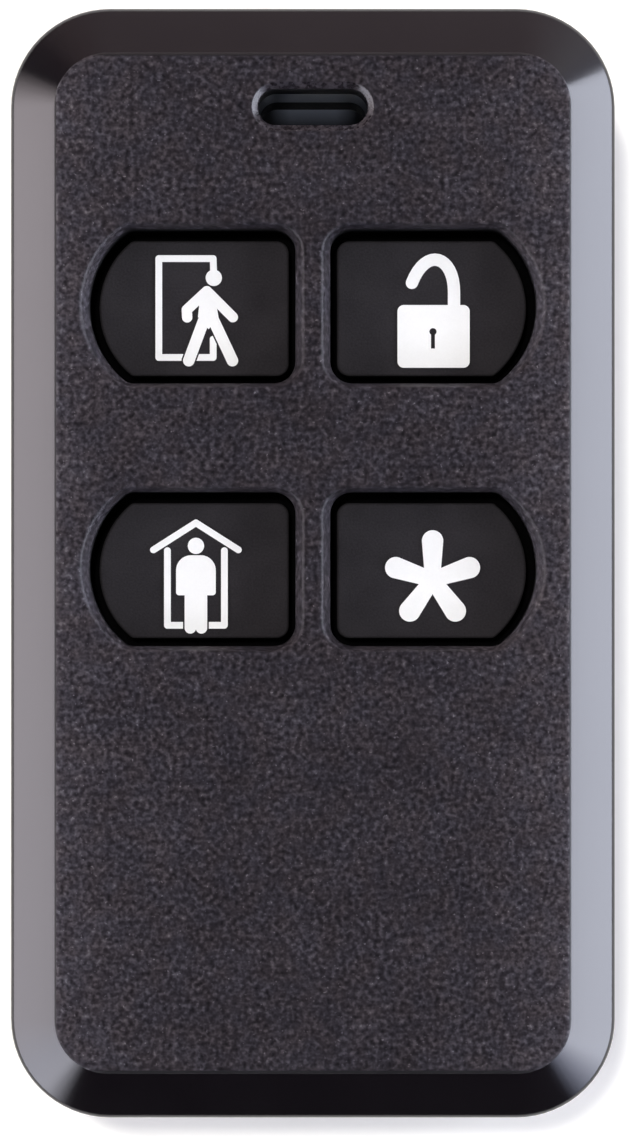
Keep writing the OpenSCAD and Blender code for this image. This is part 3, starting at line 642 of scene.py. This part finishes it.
def buildScrews():
    mesh = bmesh.new()
    w = screwForm
    for side in (-1, 1):
        cx, cy = side * bossForm["x"], bossForm["y"]
        path = roundedPath([(w["headRadius"] - lead, w["headLow"]), (w["headRadius"], w["headLow"]),
                            (w["headRadius"], w["headTop"]), (w["shank"], w["headTop"]),
                            (w["shank"], w["threadLow"])], [w["headFillet"], w["underFillet"], 0])
        path[0] = (path[1][0] - w["support"], w["headLow"])
        z = w["threadLow"]
        while z + w["pitch"] < w["tip"] - w["tipRun"]:
            path += [(w["root"], z + w[key] * w["pitch"]) for key in ("rootFrom", "rootTo")]
            path.append((w["shank"], z + w["pitch"]))
            z += w["pitch"]
        path.append((w["tipRadius"], w["tip"]))
        headRing, tipRing = skinPath(mesh, lambda r: circle(cx, cy, r, w["turns"]), path)
        rim, bottom = skinPath(mesh, lambda share: crossRing(cx, cy, share),
                               [(1, w["headLow"]), (w["crossTaper"], w["headLow"] + w["crossDeep"])])
        fillFlat(mesh, headRing, rim)
        fillFlat(mesh, bottom)
        fillFlat(mesh, tipRing)
    finishPiece("caseScrews", mesh, (screwSteel,), "case", ("case_screws",))


buildScrews()
print("screws built")


# the four snap domes under the plungers, built at rest; the real ones flatten as their keys go down
domeForm = {"rim": 1.4, "high": 0.45, "sheet": 0.08, "eye": 0.06, "steps": 14, "turns": 48, "keep": 0.26}
springSteel = makeFinish("springSteel", {"dark": (0.55, 0.56, 0.58), "light": (0.7, 0.71, 0.73), "grain": 0.3,
                                         "mottle": 1.2, "stretch": (1, 9, 1), "depth": 0.002,
                                         "rough": (0.16, 0.3), "metal": 1.0})


def buildDome(name):
    f = domeForm
    low, high = nodeBox(name + "_dome")
    cx, cy = (low.x + high.x) / 2, (low.y + high.y) / 2
    ball = (f["rim"] ** 2 + f["high"] ** 2) / (2 * f["high"])
    drop = ball - f["high"]
    path = []
    for radius, order in ((ball, 1), (ball - f["sheet"], -1)):  # out over the top, back underneath
        reach = math.sqrt(radius ** 2 - drop ** 2)
        spans = [f["eye"] + (reach - f["eye"]) * i / f["steps"] for i in range(f["steps"] + 1)]
        path += [(r, low.z + math.sqrt(radius ** 2 - r ** 2) - drop) for r in spans][::order]
    mesh = bmesh.new()
    addPost(mesh, cx, cy, path, f["turns"])
    piece = finishPiece(name + "Dome", mesh, (springSteel,), "case", (name + "_dome",))
    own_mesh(piece)


for keyName, _, _ in keyNames:
    buildDome(keyName)
print("snap domes built")


# the camera looks straight down at the fob lying on its back; near and far are in metres
photoView = {"place": (0.36, -0.42, 211.7), "lens": 125.73, "sensor": 36.0, "near": 0.01, "far": 20.0}
camera = bpy.data.objects.new("camera", bpy.data.cameras.new("camera"))
camera.location = Vector(photoView["place"]) * mm
camera.data.lens = photoView["lens"]
camera.data.sensor_width = photoView["sensor"]
camera.data.clip_start = photoView["near"]
camera.data.clip_end = photoView["far"]
bpy.context.collection.objects.link(camera)
bpy.context.scene.camera = camera


# lamps, in metres and watts per square metre of lamp
lampLooks = {"keyLamp": {"place": (-0.12, 0.19, 1.0), "side": 0.09, "level": 692.0, "tint": (1, 0.995, 0.96)},
             "sideLamp": {"place": (-0.344, 0.491, 0.1275), "side": 0.11, "level": 180.0,
                          "tint": (1, 0.995, 0.96)}}


def addLamp(name, look):
    # lights the matt colour only, so that no hot spot of it shows in the satin slopes
    light = bpy.data.lights.new(name, "AREA")
    light.shape = "SQUARE"
    light.size = look["side"]
    light.energy = look["level"] * look["side"] ** 2
    light.color = look["tint"]
    lamp = bpy.data.objects.new(name, light)
    lamp.location = look["place"]
    lamp.rotation_euler = (-lamp.location).to_track_quat("-Z", "Y").to_euler()
    lamp.visible_camera = False
    lamp.visible_glossy = False
    bpy.context.collection.objects.link(lamp)


# screens in metres, first to last and low to high in degrees, the rest as shares of the screen
wallLooks = {"leftWall": {"first": 150, "last": 243.5, "reach": 0.55, "low": 4, "high": 36, "full": 0.447,
                          "level": 7.44, "fadeFirst": 0.214, "fadeLast": 0.139,
                          "tints": ((0.086, (0.827, 0.736, 0.769)), (0.313, (0.827, 0.765, 0.815)),
                                    (0.722, (0.84, 0.84, 0.96)), (0.877, (0.885, 0.885, 1.0)))},
             "rightWall": {"first": -57, "last": 30.8, "reach": 0.55, "low": 4, "high": 36, "full": 0.447,
                           "level": 11.1, "fadeFirst": 0.313, "fadeLast": 0.02,
                           "tints": ((0, (0.68, 0.74, 1.0)), (0.25, (0.81, 0.845, 1.0)),
                                     (0.4, (0.83, 0.865, 1.0)))},
             "backWall": {"first": 20, "last": 150, "reach": 0.7, "low": 0, "high": 50, "full": 0.7,
                          "level": 1.01, "fadeFirst": 0.03, "fadeLast": 0.03,
                          "tints": ((0, (0.65, 0.69, 0.98)), (0.19, (0.97, 0.92, 1.0)),
                                    (0.42, (0.66, 0.54, 0.58)), (0.76, (0.37, 0.27, 0.28)),
                                    (0.88, (0.1, 0.07, 0.08)), (1, (0.05, 0.05, 0.06)))}}
tentLook = {"radius": 0.85, "high": 1.15, "steps": 32}
padLook = {"inset": 1.35, "margin": 0.1, "height": -0.03, "level": 0.9}  # in millimetres


def emptyFinish(name):
    finish = bpy.data.materials.new(name)
    finish.use_nodes = True
    finish.node_tree.nodes.clear()
    return finish, finish.node_tree


def addStagePiece(name, corners, faces, finish):
    data = bpy.data.meshes.new(name)
    data.from_pydata(corners, [], faces)
    data.materials.append(finish)
    piece = bpy.data.objects.new(name, data)
    bpy.context.collection.objects.link(piece)
    return piece


def addScreen(name, corners, faces):
    # a studio screen that shapes what the case mirrors; the camera looks past it
    finish, tree = emptyFinish(name)
    glow = tree.nodes.new("ShaderNodeEmission")
    out = tree.nodes.new("ShaderNodeOutputMaterial")
    tree.links.new(glow.outputs[0], out.inputs["Surface"])
    screen = addStagePiece(name, corners, faces, finish)
    screen.visible_camera = False
    return screen, tree, glow


def addLightWall(name, look, steps=24):
    # curved round the fob, full light low down, fading upward and at its two ends
    ring = arcPoints(0, 0, look["reach"], look["first"], look["last"], steps)
    low, high = (look["reach"] * math.tan(math.radians(look[key])) for key in ("low", "high"))
    count = steps + 1
    corners = [(x, y, z) for z in (low, high) for x, y in ring]
    faces = [(i, i + 1, i + 1 + count, i + count) for i in range(steps)]
    screen, tree, glow = addScreen(name, corners, faces)
    places = screen.data.uv_layers.new(name="UVMap").data
    for loop in screen.data.loops:
        places[loop.index].uv = (loop.vertex_index % count / steps, loop.vertex_index // count)
    coords = tree.nodes.new("ShaderNodeTexCoord")
    along, up, _ = axes(tree, coords.outputs["UV"])
    fall = remap(tree, up, look["full"], 1, 1, 0)
    start = remap(tree, along, 0, look["fadeFirst"], 0, 1)
    end = remap(tree, along, 1 - look["fadeLast"], 1, 1, 0)
    share = maths(tree, "MULTIPLY", maths(tree, "MULTIPLY", fall, fall), maths(tree, "MULTIPLY", start, end))
    tree.links.new(maths(tree, "MULTIPLY", share, look["level"]), glow.inputs["Strength"])
    tree.links.new(colours(tree, along, look["tints"]), glow.inputs["Color"])


def addDarkTent(look):
    count = look["steps"]
    ring = circle(0, 0, look["radius"], count)
    corners = [(x, y, z) for z in (0, look["high"]) for x, y in ring]
    faces = [(i, (i + 1) % count, (i + 1) % count + count, i + count) for i in range(count)]
    faces.append(tuple(range(count, 2 * count)))
    _, _, glow = addScreen("darkTent", corners, faces)
    glow.inputs["Strength"].default_value = 0


def addLightPad(look):
    # under the fob, open below the slot, so that the back is lit when it is looked at from below
    mesh = bmesh.new()
    fillFlat(mesh, ringAt(mesh, caseRing(look["inset"]), look["height"]),
             ringAt(mesh, slotRing(slotForm["flareRun"] + look["margin"]), look["height"]))
    mesh.verts.index_update()
    corners = [tuple(v.co) for v in mesh.verts]
    faces = [[v.index for v in face.verts] for face in mesh.faces]
    mesh.free()
    _, _, glow = addScreen("lightPad", corners, faces)
    glow.inputs["Strength"].default_value = look["level"]


for lampName, lampLook in lampLooks.items():
    addLamp(lampName, lampLook)
for wallName, wallLook in wallLooks.items():
    addLightWall(wallName, wallLook)
addDarkTent(tentLook)
addLightPad(padLook)
print("lamps and screens placed")

# floor in metres; the painted glow in the shade under the fob in millimetres
floorLook = {"half": 3.0, "drop": 0.00005, "tone": (0.9, 0.88, 0.83), "glow": 0.255, "far": (0.25, 0.5)}
paintedUnderGlow = {"edge": 3.0, "glow": 0.066, "endGlow": 0.004, "ends": (1.2, 2.3), "tint": (0.8, 0.88, 1.12),
             "first": 22.2, "last": 24.2,
             "steps": ((0, 0.75), (0.27, 0.95), (0.37, 1.0), (0.48, 0.3), (0.53, 0.16), (0.92, 0.62))}
worldLook = {"tone": (1, 1, 1), "fill": 0.1}


def seenRays(tree):
    path = tree.nodes.new("ShaderNodeLightPath")
    seen = maths(tree, "MAXIMUM", path.outputs["Is Camera Ray"], path.outputs["Is Glossy Ray"])
    return maths(tree, "MAXIMUM", seen, path.outputs["Is Transmission Ray"])


def buildFloor():
    look, under = floorLook, paintedUnderGlow
    finish, tree = emptyFinish("paleFloor")
    matt = tree.nodes.new("ShaderNodeBsdfDiffuse")
    matt.inputs["Color"].default_value = (*look["tone"], 1)
    glow = tree.nodes.new("ShaderNodeEmission")
    coords = tree.nodes.new("ShaderNodeTexCoord")
    x, y, _ = axes(tree, coords.outputs["Object"])
    sides = [(maths(tree, "ABSOLUTE", axis, 0), caseForm[key]) for axis, key in ((x, "halfX"), (y, "halfY"))]
    outside = maths(tree, "MAXIMUM", *(maths(tree, "GREATER_THAN", away, (reach - under["edge"]) * mm)
                                       for away, reach in sides))
    # painted light: only a dim cool glow in the shade under the fob, in bands along the slot and fading
    # toward its ends, which shows through the slot
    along = remap(tree, y, under["first"] * mm, under["last"] * mm, 0, 1)
    shade = colours(tree, along, [(at, (grey,) * 3) for at, grey in under["steps"]])
    ends = remap(tree, sides[0][0], *(at * mm for at in under["ends"]), under["glow"], under["endGlow"])
    shade = maths(tree, "MULTIPLY", shade, ends)
    # the floor pales to white with distance
    distance = tree.nodes.new("ShaderNodeVectorMath")
    distance.operation = "LENGTH"
    tree.links.new(coords.outputs["Object"], distance.inputs[0])
    far = remap(tree, distance.outputs["Value"], *look["far"], look["glow"], 1)
    level = maths(tree, "MAXIMUM", maths(tree, "MULTIPLY", outside, far), shade)
    tree.links.new(maths(tree, "MULTIPLY", seenRays(tree), level), glow.inputs["Strength"])
    tint = colours(tree, outside, ((0.0, under["tint"]), (1.0, (1, 1, 1))))
    tree.links.new(tint, glow.inputs["Color"])
    both = tree.nodes.new("ShaderNodeAddShader")
    tree.links.new(matt.outputs[0], both.inputs[0])
    tree.links.new(glow.outputs[0], both.inputs[1])
    clear = tree.nodes.new("ShaderNodeBsdfTransparent")  # seen from below, the floor lets the back show
    facing = tree.nodes.new("ShaderNodeNewGeometry")
    pick = tree.nodes.new("ShaderNodeMixShader")
    tree.links.new(facing.outputs["Backfacing"], pick.inputs["Fac"])
    tree.links.new(both.outputs[0], pick.inputs[1])
    tree.links.new(clear.outputs[0], pick.inputs[2])
    out = tree.nodes.new("ShaderNodeOutputMaterial")
    tree.links.new(pick.outputs[0], out.inputs["Surface"])
    half = look["half"]
    corners = [(-half, -half, 0), (half, -half, 0), (half, half, 0), (-half, half, 0)]
    floor = addStagePiece("floor", corners, [(0, 1, 2, 3)], finish)
    floor.location.z = -look["drop"]


def buildWorld():
    world = bpy.data.worlds.new("studio")
    bpy.context.scene.world = world
    world.use_nodes = True
    tree = world.node_tree
    back = tree.nodes["Background"]
    back.inputs["Color"].default_value = (*worldLook["tone"], 1)
    tree.links.new(remap(tree, seenRays(tree), 0, 1, worldLook["fill"], 1), back.inputs["Strength"])


buildFloor()
buildWorld()
bpy.context.scene.view_settings.view_transform = "Standard"
print("stage set")

# finishes of the pieces inside the case
insideLooks = {
    "keypad_mat": {"dark": (0.026, 0.024, 0.027), "light": (0.042, 0.039, 0.043), "grain": 0.12,
                   "mottle": 2.0, "depth": 0.006, "rough": (0.62, 0.74), "gloss": 0.25},
    "plunger": {"dark": (0.02, 0.02, 0.022), "light": (0.034, 0.034, 0.037), "grain": 0.15,
                "mottle": 0.9, "depth": 0.004, "rough": (0.36, 0.5)},
    "switch": {"dark": (0.012, 0.012, 0.013), "light": (0.022, 0.022, 0.024), "grain": 0.18,
               "mottle": 1.5, "depth": 0.006, "rough": (0.46, 0.6)},
    "switch_cover": {"dark": (0.48, 0.49, 0.51), "light": (0.63, 0.64, 0.66), "grain": 0.4, "mottle": 1.6,
                     "stretch": (12, 1, 1), "depth": 0.002, "rough": (0.28, 0.42), "metal": 1.0},
    "switch_terminals": {"dark": (0.56, 0.54, 0.49), "light": (0.72, 0.7, 0.65), "grain": 0.12,
                         "mottle": 0.6, "depth": 0.006, "rough": (0.26, 0.46), "metal": 1.0},
    "crystal": {"dark": (0.5, 0.51, 0.52), "light": (0.66, 0.67, 0.68), "grain": 0.35, "mottle": 1.4,
                "stretch": (1, 10, 1), "depth": 0.002, "rough": (0.24, 0.38), "metal": 1.0},
    "indicator_lamp": {"dark": (0.66, 0.6, 0.4), "light": (0.82, 0.79, 0.68), "grain": 0.2,
                       "mottle": 0.7, "depth": 0.002, "rough": (0.14, 0.24)},
    "antenna_loop": {"dark": (0.42, 0.19, 0.085), "light": (0.6, 0.31, 0.15), "grain": 0.25,
                     "mottle": 2.5, "depth": 0.004, "rough": (0.28, 0.46), "metal": 1.0},
    "battery_clip": {"dark": (0.46, 0.47, 0.48), "light": (0.62, 0.63, 0.64), "grain": 0.5, "mottle": 2.2,
                     "stretch": (1, 10, 1), "depth": 0.003, "rough": (0.22, 0.36), "metal": 1.0},
    "negative_contact": {"dark": (0.52, 0.4, 0.2), "light": (0.74, 0.6, 0.34), "grain": 0.3,
                         "mottle": 1.8, "depth": 0.003, "rough": (0.24, 0.38), "metal": 1.0}}
boardLook = {"green": (0.008, 0.06, 0.026), "greenLight": (0.014, 0.088, 0.04), "track": (0.03, 0.15, 0.06),
             "edge": (0.36, 0.3, 0.16), "edgeTilt": 0.5, "mottle": 0.6, "wide": 2.6, "high": 0.95,
             "line": 0.09, "depth": 0.012, "rough": (0.24, 0.36)}
chipLook = {"epoxy": (0.01, 0.01, 0.011), "epoxyLight": (0.02, 0.02, 0.021), "tin": (0.62, 0.61, 0.58),
            "mark": (0.09, 0.09, 0.09), "markAt": 0.7, "markRadius": 0.22, "lead": 0.5, "skin": 0.01,
            "grain": 0.12, "depth": 0.004, "rough": (0.5, 0.64)}
capacitorLook = {"body": (0.3, 0.2, 0.11), "bodyLight": (0.42, 0.3, 0.17), "tin": (0.66, 0.65, 0.62),
                 "pitch": 1.4, "long": 1.0, "cap": 0.24, "grain": 0.15, "depth": 0.004, "rough": (0.3, 0.44)}
cellLook = {"can": (0.5, 0.51, 0.52), "canLight": (0.68, 0.69, 0.7), "seal": (0.03, 0.03, 0.032),
            "sealIn": 8.5, "sealOut": 8.85, "sealLow": 4.4, "rings": 9, "depth": 0.004, "rough": (0.2, 0.34)}


def between(tree, value, low, high):
    above, below = maths(tree, "GREATER_THAN", value, low), maths(tree, "LESS_THAN", value, high)
    return maths(tree, "MULTIPLY", above, below)


def squareFrom(tree, x, y, cx, cy):
    # squared distance from a point, seen from the front
    steps = maths(tree, "SUBTRACT", x, cx), maths(tree, "SUBTRACT", y, cy)
    return maths(tree, "ADD", *(maths(tree, "POWER", step, 2) for step in steps))


def makeBoardFinish():
    look = boardLook
    finish, tree, place, shader = startFinish("boardLaminate")
    mottle = noise(tree, place, look["mottle"], detail=3)
    green = twoTone(tree, mottle, look["green"], look["greenLight"])
    lines = tree.nodes.new("ShaderNodeTexBrick")
    for key, value in (("Scale", 1), ("Mortar Size", look["line"]), ("Brick Width", look["wide"]),
                       ("Row Height", look["high"])):
        lines.inputs[key].default_value = value
    tree.links.new(place, lines.inputs["Vector"])
    tracks = mixColours(tree, lines.outputs["Fac"], green, look["track"])
    coords = tree.nodes.new("ShaderNodeTexCoord")
    upright = maths(tree, "ABSOLUTE", axes(tree, coords.outputs["Normal"])[2], 0)
    cutEdge = maths(tree, "LESS_THAN", upright, look["edgeTilt"])
    tree.links.new(mixColours(tree, cutEdge, tracks, look["edge"]), shader.inputs["Base Color"])
    setRough(tree, shader, mottle, look["rough"])
    addBump(tree, shader, lines.outputs["Fac"], look["depth"])
    return finish


def makeChipFinish(node, leads):
    # black epoxy with a round mark in one corner, and tinned leads along two sides
    look = chipLook
    low, high = nodeBox(node)
    finish, tree, place, shader = startFinish(node + "Finish")
    grain = noise(tree, place, look["grain"], detail=3)
    epoxy = twoTone(tree, grain, look["epoxy"], look["epoxyLight"])
    x, y, _ = axes(tree, place)
    inset = look["lead"] if leads else 0.0
    away = squareFrom(tree, x, y, low.x + inset + look["markAt"], high.y - look["markAt"])
    mark = maths(tree, "LESS_THAN", away, look["markRadius"] ** 2)
    body = mixColours(tree, mark, epoxy, look["mark"])
    inBody = between(tree, x, low.x + inset - look["skin"], high.x - inset + look["skin"])
    tree.links.new(mixColours(tree, inBody, look["tin"], body), shader.inputs["Base Color"])
    tree.links.new(maths(tree, "SUBTRACT", 1, inBody), shader.inputs["Metallic"])
    setRough(tree, shader, grain, look["rough"])
    addBump(tree, shader, grain, look["depth"])
    return finish


def makeCapacitorFinish():
    # fired ceramic between two tinned ends
    look = capacitorLook
    low, _ = nodeBox("chip_capacitors")
    finish, tree, place, shader = startFinish("capacitorCeramic")
    grain = noise(tree, place, look["grain"], detail=3)
    ceramic = twoTone(tree, grain, look["body"], look["bodyLight"])
    along = maths(tree, "MODULO", maths(tree, "SUBTRACT", axes(tree, place)[0], low.x), look["pitch"])
    middle = between(tree, along, look["cap"], look["long"] - look["cap"])
    tree.links.new(mixColours(tree, middle, look["tin"], ceramic), shader.inputs["Base Color"])
    tree.links.new(maths(tree, "SUBTRACT", 1, middle), shader.inputs["Metallic"])
    setRough(tree, shader, grain, look["rough"])
    addBump(tree, shader, grain, look["depth"])
    return finish


def makeCellFinish():
    # steel turned in fine rings, with the dark seal between can and cap
    look = cellLook
    low, high = nodeBox("coin_cell")
    middle = (low + high) / 2
    finish, tree, place, shader = startFinish("cellSteel")
    x, y, z = axes(tree, place)
    radius = maths(tree, "SQRT", squareFrom(tree, x, y, middle.x, middle.y), 0)
    turned = tree.nodes.new("ShaderNodeTexNoise")
    turned.noise_dimensions = "1D"
    turned.inputs["Scale"].default_value = look["rings"]
    tree.links.new(radius, turned.inputs["W"])
    rings = turned.outputs["Fac"]
    steel = colours(tree, rings, ((noiseSpan["wideLow"], look["can"]),
                                  (noiseSpan["wideHigh"], look["canLight"])))
    seal = maths(tree, "MULTIPLY", between(tree, radius, look["sealIn"], look["sealOut"]),
                 maths(tree, "GREATER_THAN", z, look["sealLow"]))
    tree.links.new(mixColours(tree, seal, steel, look["seal"]), shader.inputs["Base Color"])
    tree.links.new(maths(tree, "SUBTRACT", 1, seal), shader.inputs["Metallic"])
    setRough(tree, shader, rings, look["rough"])
    addBump(tree, shader, rings, look["depth"])
    return finish


insideFinishes = {name: makeFinish(name + "Finish", look) for name, look in insideLooks.items()}
insideFinishes.update({"circuit_board": makeBoardFinish(), "radio_chip": makeChipFinish("radio_chip", False),
                       "controller_chip": makeChipFinish("controller_chip", True),
                       "chip_capacitors": makeCapacitorFinish(), "coin_cell": makeCellFinish(),
                       "legend": legendInk})
replacedNodes = {"front_shell", "rear_shell", "case_screws"}
replacedNodes |= {name + kind for name, _, _ in keyNames for kind in ("_key", "_dome")}
for node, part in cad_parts.items():
    if node in replacedNodes:
        continue
    kind = node if node in insideFinishes else node.split("_", 1)[1]
    part.data.materials.clear()
    part.data.materials.append(insideFinishes[kind])
print("finishes on the carried-over pieces:", len(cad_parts) - len(replacedNodes))
